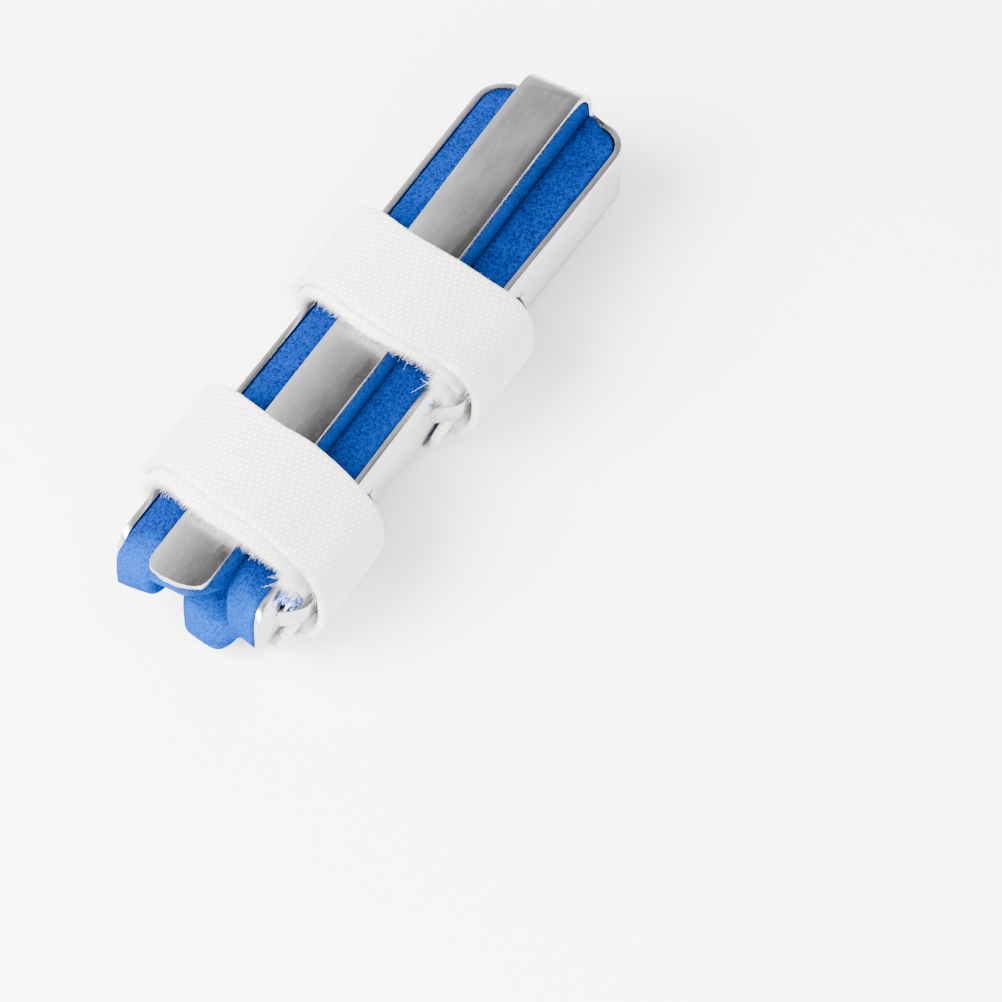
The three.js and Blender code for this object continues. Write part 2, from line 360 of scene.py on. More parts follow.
@dataclass(frozen=True)
class StrapFinish:
    """Off-white knitted strap with rows of small slanted stitches, painted darker in the grooves as shade and
    lighter on the stitch tops as light.
    """

    name: str = "knitted_strap"
    colour: tuple[float, float, float] = (0.70, 0.675, 0.635)
    # dark serves mostly as painted shade in the stitch grooves, bright as painted light on the stitch tops.
    dark: tuple[float, float, float] = (0.47, 0.45, 0.41)
    bright: tuple[float, float, float] = (0.86, 0.84, 0.81)
    row: float = 0.56
    stitch: float = 1.15
    slant: float = 24.0
    plain_fade: float = 0.8
    wobble_scale: float = 700.0
    fuzz_scale: float = 4200.0
    cloud_scale: float = 240.0

    def make(self) -> bpy.types.Material:
        """Builds the material. The mesh's UV map holds millimetres along and across."""
        desk = Desk(self.name)
        where = desk.add("ShaderNodeUVMap", uv_map="strap_mm")
        parts = desk.add("ShaderNodeSeparateXYZ")
        desk.wire(where.outputs[0], parts.inputs[0])
        wobble = desk.noise(desk.place(), self.wobble_scale, 2.0, 0.5)
        along = desk.math("MULTIPLY_ADD", wobble, 0.35, parts.outputs[0])
        across = desk.math("MULTIPLY_ADD", wobble, -0.3, parts.outputs[1])
        cosine, sine = math.cos(math.radians(self.slant)), math.sin(math.radians(self.slant))
        over = desk.math("MULTIPLY_ADD", along, cosine, desk.math("MULTIPLY", across, sine))
        down = desk.math("MULTIPLY_ADD", across, cosine, desk.math("MULTIPLY", along, -sine))
        lane = desk.math("DIVIDE", over, self.row)
        in_lane = desk.math("ABSOLUTE", desk.math("SUBTRACT", desk.math("FRACT", lane), 0.5))
        along_lane = desk.math("DIVIDE", down, self.stitch)
        brick = desk.math("MULTIPLY_ADD", desk.math("FLOOR", lane), 0.5, along_lane)
        in_stitch = desk.math("ABSOLUTE", desk.math("SUBTRACT", desk.math("FRACT", brick), 0.5))
        ridge = desk.math("SUBTRACT", 1.0, desk.math("MULTIPLY", in_lane, 2.0))
        bead = desk.math("SUBTRACT", 1.0, desk.math("MULTIPLY", in_stitch, 2.0))
        stitched = desk.math("MULTIPLY", ridge, bead)
        plain = desk.add("ShaderNodeAttribute", attribute_name="plain")
        fade = desk.math("MULTIPLY", plain.outputs["Fac"], self.plain_fade)
        knit = desk.math("MULTIPLY", stitched, desk.math("SUBTRACT", 1.0, fade))
        fuzz = desk.noise(desk.place(), self.fuzz_scale, 3.0, 0.7)
        cloud = desk.noise(desk.place(), self.cloud_scale, 3.0, 0.6)
        # The knit's relief sets the colour: painted shade in the grooves and painted light on the stitch
        # tops, mixed with random fuzz and cloud tone.
        level = desk.math("MULTIPLY_ADD", fuzz, 0.3, desk.math("MULTIPLY", knit, 0.9))
        level = desk.math("MULTIPLY_ADD", cloud, 0.2, level)
        colour = desk.ramp(level, [(0.15, self.dark), (0.42, self.colour), (0.85, self.bright)])
        desk.wire(colour, desk.shader.inputs["Base Color"])
        desk.set(Roughness=0.88, Sheen_Weight=0.2, Sheen_Roughness=0.6, Specular_IOR_Level=0.25)
        relief = desk.bump(knit, 0.55, 0.00024)
        relief = desk.bump(fuzz, 0.4, 0.00012, relief)
        desk.wire(relief, desk.shader.inputs["Normal"])
        return desk.material


@dataclass(frozen=True)
class FibreFinish:
    """Loose fibres of the strap's fleece."""

    name: str = "strap_fibre"
    colour: tuple[float, float, float] = (0.80, 0.785, 0.76)
    dark: tuple[float, float, float] = (0.70, 0.69, 0.67)

    def make(self) -> bpy.types.Material:
        """Builds the material."""
        desk = Desk(self.name)
        tint = desk.noise(desk.place(), 500.0, 2.0)
        desk.wire(desk.ramp(tint, [(0.3, self.dark), (0.7, self.colour)]), desk.shader.inputs["Base Color"])
        desk.set(Roughness=0.6, Sheen_Weight=0.2)
        return desk.material


@dataclass(frozen=True)
class TuftFinish:
    """Torn foam crumbs, part blue and part bleached almost white."""

    name: str = "torn_foam"
    blue: tuple[float, float, float] = (0.006, 0.055, 0.36)
    white: tuple[float, float, float] = (0.58, 0.74, 0.88)

    def make(self) -> bpy.types.Material:
        """Builds the material."""
        desk = Desk(self.name)
        cloud = desk.noise(desk.place(), 1400.0, 3.0, 0.7)
        desk.wire(desk.ramp(cloud, [(0.47, self.blue), (0.64, self.white)]), desk.shader.inputs["Base Color"])
        desk.set(Roughness=0.95)
        desk.wire(desk.bump(cloud, 0.8, 0.0004), desk.shader.inputs["Normal"])
        return desk.material


@dataclass(frozen=True)
class FloorFinish:
    """Plain pale floor."""

    name: str = "pale_floor"
    colour: tuple[float, float, float] = (0.97, 0.97, 0.97)

    def make(self) -> bpy.types.Material:
        """Builds the material."""
        desk = Desk(self.name)
        grain = desk.noise(desk.place(), 40.0, 2.0)
        low = tuple(value * 0.995 for value in self.colour)
        desk.wire(desk.ramp(grain, [(0.3, low), (0.7, self.colour)]), desk.shader.inputs["Base Color"])
        desk.set(Roughness=0.9, Specular_IOR_Level=0.1)
        return desk.material


# Meshes


def new_piece(
    name: str, points: np.ndarray, faces: list[tuple[int, ...]], material: bpy.types.Material
) -> bpy.types.Object:
    """Makes a smooth-shaded piece from points in millimetres in the model's frame.

    Args:
        name: The piece's name.
        points: One row for each vertex.
        faces: Vertex numbers of each face.
        material: The piece's material.

    Returns:
        The new object, linked to the scene.
    """
    mesh = bpy.data.meshes.new(name)
    mesh.from_pydata((points * MM).tolist(), [], faces)
    mesh.validate()
    work = bmesh.new()
    work.from_mesh(mesh)
    bmesh.ops.recalc_face_normals(work, faces=work.faces)
    work.to_mesh(mesh)
    work.free()
    mesh.shade_smooth()
    mesh.materials.append(material)
    piece = bpy.data.objects.new(name, mesh)
    bpy.context.scene.collection.objects.link(piece)
    return piece


def tube_faces(rings: int, around: int) -> list[tuple[int, ...]]:
    """Faces of a skin over rings of points, with its ends closed by single faces."""
    faces = []
    for i in range(rings - 1):
        for j in range(around):
            k = (j + 1) % around
            faces.append((i * around + j, i * around + k, (i + 1) * around + k, (i + 1) * around + j))
    faces.append(tuple(range(around - 1, -1, -1)))
    faces.append(tuple((rings - 1) * around + j for j in range(around)))
    return faces


def put_attribute(piece: bpy.types.Object, name: str, values: np.ndarray) -> None:
    """Stores one number for each vertex of a piece."""
    attribute = piece.data.attributes.new(name, "FLOAT", "POINT")
    attribute.data.foreach_set("value", values.astype(np.float32))


@dataclass
class Layout:
    """Sizes that the pieces share, in millimetres, as in the solid model."""

    length: float = 95.4
    cavity_half: float = 4.1
    foam: float = 5.2
    glue: float = 0.3
    sheet: float = 0.8
    pad_gap: float = 0.3
    crown: float = 0.76
    far_crown: float = 0.27
    crown_run: float = 36.0
    fold: float = 4.3
    tip_depth: float = 3.1
    far_splay: float = 1.2
    far_rise: float = 0.3
    top_shift: float = 0.35
    axis_x: float = -46.9
    axis_y: float = 0.216
    axis_z: float = 11.9

    @property
    def radius(self) -> float:
        """Axis to the outer face of a prong."""
        return self.cavity_half + self.foam + self.glue + self.sheet

    @property
    def half_width(self) -> float:
        """Half the width of a prong."""
        return self.cavity_half - self.pad_gap / 2

    def prong_radius(self, side: Side, x: np.ndarray | float) -> np.ndarray | float:
        """Outer radius of a prong at a place along the splint."""
        splay = self.far_splay if side is Side.FAR else 0.0
        run = np.maximum(0.0, self.length - self.fold - x)
        return self.radius + splay * run / (self.length - self.fold)

    def turned(self, side: Side, x: np.ndarray, across: np.ndarray, radial: np.ndarray) -> np.ndarray:
        """Places on a prong, seen as the top one, in the model's frame.

        Args:
            side: The prong.
            x: Places along the splint from its base end.
            across: Places across the prong.
            radial: Distances from the axis.

        Returns:
            One row of x, y and z for each place.
        """
        cosine, sine = ((1, 0), (0, 1), (-1, 0), (0, -1))[side.value]
        y = across * cosine + radial * sine
        z = radial * cosine - across * sine
        return np.stack([x + self.axis_x, y + self.axis_y, z + self.axis_z], axis=-1)


@dataclass
class Cage:
    """The bent metal cage, with softened edges that carry a painted highlight."""

    layout: Layout
    bevel: float = 0.2
    bevel_angle: float = 50.0
    join: float = 2e-6
    flat_angle: float = 0.4
    sheet_finish: SheetFinish = field(default_factory=SheetFinish)
    edge_highlight_finish: CutEdgeHighlightFinish = field(default_factory=CutEdgeHighlightFinish)

    def build(self, node: bpy.types.Object) -> bpy.types.Object:
        """Copies the solid's skin, joins its corners and rounds its edges.

        Args:
            node: The solid model's cage.

        Returns:
            The piece that is shown in its place.
        """
        mesh = node.data.copy()
        mesh.name = "cage_metal"
        mesh.materials.clear()
        work = bmesh.new()
        work.from_mesh(mesh)
        bmesh.ops.remove_doubles(work, verts=work.verts, dist=self.join)
        flat = math.radians(self.flat_angle)
        bmesh.ops.dissolve_limit(work, angle_limit=flat, verts=work.verts, edges=work.edges)
        work.to_mesh(mesh)
        work.free()
        mesh.materials.append(self.sheet_finish.make())
        mesh.materials.append(self.edge_highlight_finish.make())
        mesh.shade_smooth()
        piece = bpy.data.objects.new("cage_metal", mesh)
        bpy.context.scene.collection.objects.link(piece)
        bevel = piece.modifiers.new("edge_round", "BEVEL")
        bevel.width = self.bevel * MM
        bevel.segments = 2
        bevel.limit_method = "ANGLE"
        bevel.angle_limit = math.radians(self.bevel_angle)
        # The rounded edges take the near-white edge material: partly the cut finish, partly a painted
        # highlight.
        bevel.material = 1
        bevel.harden_normals = True
        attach(piece, "root")
        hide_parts("cage")
        return piece


@dataclass
class PadShape:
    """How one long foam pad ends, and how its two sides swell.

    Its end lies short_by from the splint's base end, and stands proud of its prong. The slants
    draw the end back towards the inner face and towards one side.
    """

    side: Side
    short_by: float
    proud: float
    swell: tuple[float, float]
    inner_slant: float
    side_slant: float


@dataclass
class FoamLining:
    """The four long pads and the pad behind the cap."""

    layout: Layout
    finish: FoamFinish = field(default_factory=FoamFinish)
    inset: float = 0.05
    end_round: float = 1.3
    inner_round: float = 0.9
    outline_power: float = 2.4
    least_width: float = 0.12
    swell_run: float = 3.5
    slant_run: float = 14.0
    fold_run: float = 6.0
    side_puff: float = 0.12
    near_painted_light: float = 0.5
    tip_puff: float = 0.25
    tip_power: float = 5.0
    shapes: tuple[PadShape, ...] = (
        PadShape(Side.TOP, 0.0, 0.9, (0.05, 0.15), 5.2, 0.0),
        PadShape(Side.FAR, 6.8, 2.8, (1.5, 0.2), 0.4, 0.0),
        PadShape(Side.BOTTOM, 8.0, 1.1, (0.4, 3.2), 0.4, -1.4),
        PadShape(Side.NEAR, 4.0, -0.3, (0.2, 1.7), 1.6, 0.0),
    )

    def pad(self, shape: PadShape, material: bpy.types.Material) -> bpy.types.Object:
        """Lofts one long pad.

        Args:
            shape: Its end and its swelling.
            material: The foam's material.

        Returns:
            The piece.
        """
        lay = self.layout
        start = shape.short_by - shape.proud
        tip_run = lay.tip_depth + shape.proud
        stop = lay.length - lay.sheet - lay.glue
        near_end = start + tip_run * (1 - np.cos(np.linspace(0, np.pi / 2, 16)))
        straight = np.linspace(start + tip_run, stop - self.fold_run, 60)[1:]
        folded = stop - self.fold_run + self.fold_run * np.sin(np.linspace(0, np.pi / 2, 12))[1:]
        xs = np.concatenate([near_end, straight, folded])
        count = 12
        corner = np.linspace(0, np.pi / 2, 5)
        rows, pales = [], []
        for x in xs:
            into = np.clip((x - start) / tip_run, 0, 1)
            outline = (1 - (1 - into) ** self.outline_power) ** (1 / self.outline_power)
            width = (lay.half_width - self.inset) * max(self.least_width, outline)
            deep = min(1.0, (x - start) / self.end_round)
            edge = self.end_round * (1 - math.sqrt(max(0.0, 1 - (1 - deep) ** 2)))
            back = float(lay.prong_radius(shape.side, x)) - lay.sheet - lay.glue
            inner_fold = lay.fold - lay.sheet - lay.glue
            past = max(0.0, x - (lay.length - lay.fold))
            drop = inner_fold - math.sqrt(max(0.0, inner_fold**2 - past**2))
            swollen = float(smoothstep(0, self.swell_run, x - start))
            outer = back - edge - drop
            inner = back - lay.foam + edge * 0.6
            ring = []
            round_in = min(self.inner_round, 0.55 * width)
            for sign, grow in ((-1, shape.swell[0]), (1, shape.swell[1])):
                side_points = []
                for q in np.linspace(0, 1, count):
                    radial = outer + (inner + round_in - outer) * q
                    bulge = grow * swollen * float(smoothstep(0.05, 1.0, q))
                    bulge += self.side_puff * math.sin(math.pi * q)
                    side_points.append((sign * (width + bulge), radial))
                last = side_points[-1][0]
                for a in corner[1:]:
                    shift = round_in * (1 - math.cos(a))
                    side_points.append((last - sign * shift, inner + round_in * (1 - math.sin(a))))
                if sign < 0:
                    ring.extend(side_points)
                    low = last + round_in
                else:
                    high = last - round_in
                    ring.extend((low + (high - low) * s, inner) for s in np.linspace(0, 1, 8)[1:-1])
                    ring.extend(reversed(side_points))
            ring.extend((width * (1 - 2 * s), outer) for s in np.linspace(0, 1, 10)[1:-1])
            ring = np.array(ring)
            off = ring[:, 0]
            bow = lay.far_crown if shape.side is Side.FAR else lay.crown
            run = lay.length - lay.fold - x
            crown = bow * np.clip(off / lay.half_width, -1, 1) ** 2
            crown = crown * float(smoothstep(0, lay.crown_run, run))
            share = np.clip((ring[:, 1] - inner) / max(outer - inner, 0.01), 0, 1)
            radial = ring[:, 1] - crown * share
            shift = {Side.TOP: -lay.top_shift, Side.FAR: -lay.far_rise}.get(shape.side, 0.0)
            fade = float(1 - smoothstep(0, self.slant_run, x - start))
            depth = np.clip((back - ring[:, 1]) / lay.foam, 0, 1)
            slant = shape.inner_slant * depth + shape.side_slant * (off / lay.half_width + 1) / 2
            rows.append(lay.turned(shape.side, x + slant * fade, off + shift, radial))
            # Paler towards the pad's base end.
            ends = 1 - float(smoothstep(1.0, 5.0, x - start))
            shade = np.full(len(ring), ends)
            # On the top pad the upper part of the near side is painted paler: painted light where light falls
            # on the foam's side.
            if shape.side is Side.TOP:
                shade = np.maximum(shade, self.near_painted_light * (off < 0) * smoothstep(0.2, 0.9, share))
            pales.append(shade)
        name = f"foam_{shape.side.name.lower()}_pad"
        faces = tube_faces(len(xs), len(rows[0]))
        piece = new_piece(name, np.concatenate(rows), faces, material)
        put_attribute(piece, "pale", np.concatenate(pales))
        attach(piece, "root")
        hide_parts(f"foam_{shape.side.name.lower()}")
        return piece

    def tip(self, material: bpy.types.Material) -> bpy.types.Object:
        """Makes the soft square pad behind the cap."""
        low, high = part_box("foam_tip")
        low, high = np.array(low) / MM, np.array(high) / MM
        middle, half = (low + high) / 2, (high - low) / 2
        work = bmesh.new()
        bmesh.ops.create_cube(work, size=2.0)
        bmesh.ops.subdivide_edges(work, edges=work.edges, cuts=9, use_grid_fill=True)
        points = np.array([v.co for v in work.verts])
        faces = [tuple(v.index for v in f.verts) for f in work.faces]
        work.free()
        length = (np.abs(points) ** self.tip_power).sum(axis=1) ** (1 / self.tip_power)
        puffed = half + np.array([0.0, self.tip_puff, self.tip_puff])
        points = points / length[:, None] * puffed + middle
        piece = new_piece("foam_tip_pad", points, faces, material)
        put_attribute(piece, "pale", np.zeros(len(points)))
        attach(piece, "root")
        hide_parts("foam_tip")
        return piece

    def build(self) -> list[bpy.types.Object]:
        """Makes all the pads."""
        material = self.finish.make()
        pieces = [self.pad(shape, material) for shape in self.shapes]
        pieces.append(self.tip(material))
        return pieces


@dataclass
class Strap:
    """One strap: its head below the bridge, a turn round the prongs and half a turn over it."""

    layout: Layout
    name: str
    bridge_at: float
    lean: float
    drift: float
    seed: int
    width: float = 14.4
    thickness: float = 1.15
    clear: float = 0.35
    layer_gap: float = 0.25
    rest_slack: float = 0.6
    far_shoulder: float = 0.8
    near_shoulder: float = 0.3
    far_drift: float = 5.6
    head_length: float = 23.4
    head_height: float = 8.6
    last_angle: float = 524.0
    inner_back: float = 0.5
    bridge_width: float = 2.6
    slit: float = 0.5
    edge: float = 0.42
    rim_wave: float = 0.12
    face_wave: float = 0.03
    outline_at: tuple[float, ...] = (0, 0.02, 0.1, 0.3, 0.75, 0.92, 1)
    outline_width: tuple[float, ...] = (0.55, 0.66, 0.77, 0.88, 1, 0.97, 0.8)
    rim_fibres: tuple[tuple[float, float, int], ...] = ((15.0, 165.0, 2600), (368.0, 522.0, 2200))
    face_fibres: tuple[float, float, int] = (370, 500, 700)
    fibre_reach: tuple[float, float] = (0.15, 0.8)

    @property
    def seat(self) -> float:
        """Axis to the strap's middle where it lies on a prong."""
        return self.layout.radius + self.clear + self.thickness / 2

    def radius_at(self, angle: np.ndarray) -> np.ndarray:
        """Radius of the strap's middle at angles in degrees, 0 at the near prong and 90 at the top."""
        lay = self.layout
        far = float(lay.prong_radius(Side.FAR, self.bridge_at)) - lay.radius
        seats = np.array([0.0, 0.0, far, self.rest_slack]) + self.seat
        quarter = np.floor(angle / 90).astype(int)
        share = 0.5 - 0.5 * np.cos(np.pi * (angle / 90 - quarter))
        near, after = seats[(quarter + 4) % 4], seats[(quarter + 5) % 4]
        pitch = self.thickness + self.layer_gap
        onto = pitch * smoothstep(288, 311, angle)
        rise = lay.sheet + self.layer_gap + self.near_shoulder
        bulge = rise * smoothstep(320, 350, angle) * (1 - smoothstep(373, 408, angle))
        turn = np.mod(angle, 360)
        shoulder = self.far_shoulder * smoothstep(88, 130, turn) * (1 - smoothstep(132, 230, turn))
        return near + (after - near) * share + onto + bulge + shoulder

    def middle_at(self, angle: np.ndarray) -> np.ndarray:
        """Middle of the strap in the plane across the splint, as rows of y and z from the axis."""
        radius = self.radius_at(angle)
        turn = np.radians(angle)
        height = np.maximum(radius * np.sin(turn), -self.seat)
        return np.stack([-radius * np.cos(turn), height], axis=-1)

    def centre_at(self, angle: np.ndarray) -> np.ndarray:
        """Where along the splint the middle of the strap's width is."""
        turn = np.mod(angle, 360)
        lean = self.lean * smoothstep(0, 80, turn)
        slant = self.far_drift * smoothstep(80, 170, turn)
        back = (self.far_drift - self.lean) * smoothstep(200, 340, turn)
        inner = self.inner_back * smoothstep(15, 55, angle) * (1 - smoothstep(150, 230, angle))
        own = np.where(angle > 0, slant - lean - back - inner, 0.0)
        return self.bridge_at + own + self.drift * smoothstep(370, 440, angle)

    def frame_at(self, angle: np.ndarray) -> tuple[np.ndarray, np.ndarray, np.ndarray]:
        """The strap's middle, outward direction and centre along the splint at angles."""
        middle = self.middle_at(angle)
        ahead = self.middle_at(angle + 0.7) - self.middle_at(angle - 0.7)
        outward = np.stack([-ahead[:, 1], ahead[:, 0]], axis=-1)
        outward /= np.linalg.norm(outward, axis=1)[:, None]
        return middle, outward, self.centre_at(angle)

    def stations(self) -> tuple[np.ndarray, np.ndarray]:
        """Angles along the strap, and half its width at each."""
        neck = -math.degrees((self.bridge_width / 2 + self.layer_gap + self.slit) / self.seat)
        head = math.degrees(self.head_height / self.seat)
        share = 1 - np.cos(np.linspace(0, np.pi / 2, 14))
        head_angle = neck - head * (1 - share)
        outline = np.interp(share, self.outline_at, self.outline_width)
        ring_angle = np.linspace(neck, self.last_angle, 300)[1:]
        widths = np.full(len(ring_angle), self.width / 2)
        step = outline[-1] * self.head_length / 2 - self.width / 2
        widths += step * (1 - smoothstep(neck, neck + 5, ring_angle))
        halves = np.concatenate([outline * self.head_length / 2, widths])
        return np.concatenate([head_angle, ring_angle]), halves

    def surface(self, angle: np.ndarray, across: np.ndarray, off: np.ndarray) -> np.ndarray:
        """Points of the strap in the model's frame.

        Args:
            angle: Angles in degrees.
            across: Distances from the strap's middle line along the splint.
            off: Distances outward from the strap's middle surface.

        Returns:
            One row for each point, in millimetres.
        """
        lay = self.layout
        middle, outward, centre = self.frame_at(angle)
        y = middle[:, 0] + outward[:, 0] * off
        z = middle[:, 1] + outward[:, 1] * off
        return np.stack([centre + across + lay.axis_x, y + lay.axis_y, z + lay.axis_z], axis=-1)

    def band(self, material: bpy.types.Material) -> bpy.types.Object:
        """Makes the strap itself, with rounded edges and a slightly uneven rim."""
        angles, halves = self.stations()
        middle = self.middle_at(angles)
        steps = np.linalg.norm(np.diff(middle, axis=0), axis=1)
        along = np.concatenate([[0], np.cumsum(steps)])
        uneven = {1: ripple(along, self.seed), -1: ripple(along, self.seed + 1)}
        lift = ripple(along, self.seed + 2)
        half_thick = self.thickness / 2
        profile = []
        flat = np.linspace(-1, 1, 25)
        for u in flat:
            profile.append((u, 1.0))
        for a in np.linspace(np.pi / 2, -np.pi / 2, 7)[1:-1]:
            profile.append((1 + math.cos(a) * 0.001, math.sin(a)))
        for u in flat[::-1]:
            profile.append((u, -1.0))
        for a in np.linspace(-np.pi / 2, -3 * np.pi / 2, 7)[1:-1]:
            profile.append((-1 + math.cos(a) * 0.001, math.sin(a)))
        points, uvs, plains = [], [], []
        for i, (angle, half) in enumerate(zip(angles, halves)):
            across, off = [], []
            for u, v in profile:
                sign = 1 if u > 0 else -1
                rim = half + self.rim_wave * uneven[sign][i] * smoothstep(-5, 10, angle)
                if abs(u) <= 1:
                    across.append(u * (rim - self.edge))
                    off.append(v * half_thick * (1 - 0.05 * abs(u) ** 8) + self.face_wave * lift[i])
                else:
                    bow = math.sqrt(max(0.0, 1 - v * v))
                    across.append(sign * (rim - self.edge + self.edge * bow))
                    off.append(v * half_thick * 0.95 + self.face_wave * lift[i])
            across, off = np.array(across), np.array(off)
            points.append(self.surface(np.full(len(across), angle), across, off))
            uvs.append(np.stack([np.full(len(across), along[i]), across + 30], axis=-1))
            wall = float(smoothstep(325, 345, angle) * (1 - smoothstep(376, 386, angle)))
            plains.append(np.full(len(across), wall))
        points, uvs = np.concatenate(points), np.concatenate(uvs)
        piece = new_piece(f"{self.name}_band", points, tube_faces(len(angles), len(profile)), material)
        layer = piece.data.uv_layers.new(name="strap_mm")
        loops = np.zeros(len(piece.data.loops), dtype=np.int32)
        piece.data.loops.foreach_get("vertex_index", loops)
        layer.data.foreach_set("uv", uvs[loops].astype(np.float32).ravel())
        put_attribute(piece, "plain", np.concatenate(plains))
        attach(piece, "root")
        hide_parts(self.name)
        return piece

    def fibres(self, material: bpy.types.Material) -> bpy.types.Object:
        """Makes the loose fibres along the strap's base-side edge and on its face."""
        dice = np.random.default_rng(self.seed + 7)
        roots, ways = [], []
        for base, tip, count in self.rim_fibres:
            angle = dice.uniform(base, tip, count)
            across = -(self.width / 2 - dice.uniform(0.0, 0.5, count))
            off = dice.uniform(-0.5, 0.5, count) * self.thickness
            roots.append(self.surface(angle, across, off))
            out = self.surface(angle, across - 0.5, off + dice.uniform(-0.1, 0.35, count)) - roots[-1]
            ways.append(out / np.linalg.norm(out, axis=1)[:, None])
        base, tip, count = self.face_fibres
        angle = dice.uniform(base, tip, count)
        across = dice.uniform(-0.98, 0.98, count) * self.width / 2
        on_face = self.surface(angle, across, np.full(count, self.thickness / 2 - 0.03))
        above = self.surface(angle, across, np.full(count, self.thickness / 2 + 0.5)) - on_face
        roots.append(on_face)
        ways.append(above / np.linalg.norm(above, axis=1)[:, None] * 0.35)
        name, seed = f"{self.name}_fibres", self.seed + 9
        piece = hair(name, np.concatenate(roots), np.concatenate(ways), material, seed, self.fibre_reach)
        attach(piece, "root")
        return piece

    def build(self, band: bpy.types.Material, fibre: bpy.types.Material) -> list[bpy.types.Object]:
        """Makes the strap and its fibres."""
        return [self.band(band), self.fibres(fibre)]


def hair(
    name: str,
    roots: np.ndarray,
    ways: np.ndarray,
    material: bpy.types.Material,
    seed: int,
    reach: tuple[float, float],
) -> bpy.types.Object:
    """Makes short curled fibres as thin three-sided tubes.

    Args:
        name: The piece's name.
        roots: Where each fibre starts, in millimetres.
        ways: The direction that each one starts in.
        material: The fibres' material.
        seed: Seed of their lengths and curls.
        reach: Shortest and longest fibre, in millimetres.

    Returns:
        The piece.
    """
    dice = np.random.default_rng(seed)
    count, steps, thick = len(roots), 5, 0.017
    length = dice.uniform(*reach, count)
    curl = dice.normal(0, 0.55, (count, 3))
    curl2 = dice.normal(0, 0.6, (count, 3))
    points, faces = [], []
    spin = np.array([0, 2 * np.pi / 3, 4 * np.pi / 3])
    for i in range(count):
        way = ways[i]
        side = np.cross(way, [0.3, 0.5, 0.8])
        side /= np.linalg.norm(side) + 1e-9
        other = np.cross(way, side)
        start = len(points) * 3
        for j in range(steps):
            t = j / (steps - 1)
            at = roots[i] + length[i] * (way * t + curl[i] * t * t * 0.7 + curl2[i] * t**3 * 0.5)
            thin = thick * (1 - 0.6 * t)
            points.append([at + thin * (math.cos(a) * side + math.sin(a) * other) for a in spin])
        for j in range(steps - 1):
            for k in range(3):
                a, b = start + j * 3 + k, start + j * 3 + (k + 1) % 3
                faces.append((a, b, b + 3, a + 3))
    return new_piece(name, np.array(points).reshape(-1, 3), faces, material)


@dataclass
class TornFoam:
    """Crumbs of foam and tangled fleece that show beside the bridges.

    Each row of spots and tangles holds x from the base end, y and z from the axis, and a size.
    """

    layout: Layout
    finish: TuftFinish = field(default_factory=TuftFinish)
    crumb_seed: int = 31
    fluff_seed: int = 37
    lump: float = 0.16
    crumb_shape: tuple[float, float, float] = (1.0, 0.35, 0.42)
    fluff_spread: tuple[float, float, float] = (0.5, 0.16, 0.5)
    fluff_lean: tuple[float, float, float] = (0.0, -0.4, -0.3)
    fluff_count: int = 500
    fluff_reach: tuple[float, float] = (0.5, 1.5)
    spots: tuple[tuple[float, float, float, float], ...] = (
        (7.6, -10.75, 4.6, 0.75),
        (8.7, -10.8, 4.6, 0.6),
        (9.5, -10.85, 3.3, 0.9),
        (9.4, -11.2, 2.4, 1.0),
        (10.6, -11.5, 1.2, 0.9),
        (11.1, -10.9, 2.6, 1.0),
        (12.6, -11.0, 1.3, 1.1),
        (13.8, -11.0, 0.6, 1.0),
        (11.3, -10.9, 0.7, 0.8),
        (43.5, -10.75, 4.0, 0.5),
        (49.7, -11.0, -0.4, 0.8),
        (46.9, -10.9, 1.8, 0.6),
        (48.2, -11.0, -1.2, 0.7),
        (64.3, -10.75, 1.3, 0.45),
    )
    tangles: tuple[tuple[float, float, float, float], ...] = (
        (9.5, -11.0, 7.4, 1.0),
        (11.0, -11.0, 5.4, 1.2),
        (12.5, -11.1, 3.4, 1.0),
        (44.4, -11.0, 8.0, 0.7),
        (45.2, -11.0, 5.2, 0.9),
        (46.9, -11.0, 1.4, 1.0),
        (48.6, -11.2, -2.4, 1.0),
        (12.4, -11.9, -3.4, 1.0),
        (12.8, -11.9, -5.4, 1.0),
        (49.2, -11.9, -4.0, 1.0),
        (49.4, -11.9, -6.0, 1.0),
    )

    def crumbs(self) -> bpy.types.Object:
        """Makes the crumbs as one piece of lumpy blobs."""
        dice = np.random.default_rng(self.crumb_seed)
        lay = self.layout
        points, faces = [], []
        for x, y, z, size in self.spots:
            work = bmesh.new()
            bmesh.ops.create_icosphere(work, subdivisions=3, radius=1.0)
            ball = np.array([v.co for v in work.verts])
            start = sum(len(p) for p in points)
            faces.extend(tuple(start + v.index for v in f.verts) for f in work.faces)
            work.free()
            lumps = np.ones(len(ball))
            for _ in range(7):
                way = dice.normal(size=3)
                way /= np.linalg.norm(way)
                lumps += self.lump * np.sin(4 * ball @ way + dice.uniform(0, 6))
            shape = np.array(self.crumb_shape) * size
            middle = [x + lay.axis_x, y + lay.axis_y, z + lay.axis_z]
            points.append(ball * lumps[:, None] * shape + middle)
        piece = new_piece("torn_foam_crumbs", np.concatenate(points), faces, self.finish.make())
        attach(piece, "root")
        return piece

    def fluff(self, material: bpy.types.Material) -> bpy.types.Object:
        """Makes the tangled fleece that is caught in the slits."""
        dice = np.random.default_rng(self.fluff_seed)
        lay = self.layout
        roots, ways = [], []
        for x, y, z, size in self.tangles:
            count = int(self.fluff_count * size)
            near = dice.normal(0, 1, (count, 3)) * np.array(self.fluff_spread) * size
            roots.append(near + [x + lay.axis_x, y + lay.axis_y, z + lay.axis_z])
            way = dice.normal(size=(count, 3)) + np.array(self.fluff_lean)
            ways.append(way / np.linalg.norm(way, axis=1)[:, None])
        starts, ways = np.concatenate(roots), np.concatenate(ways)
        piece = hair("slit_fluff", starts, ways, material, self.fluff_seed + 4, self.fluff_reach)
        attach(piece, "root")
        return piece

    def build(self, fibre: bpy.types.Material) -> list[bpy.types.Object]:
        """Makes the crumbs and the fluff."""
        return [self.crumbs(), self.fluff(fibre)]


# Studio


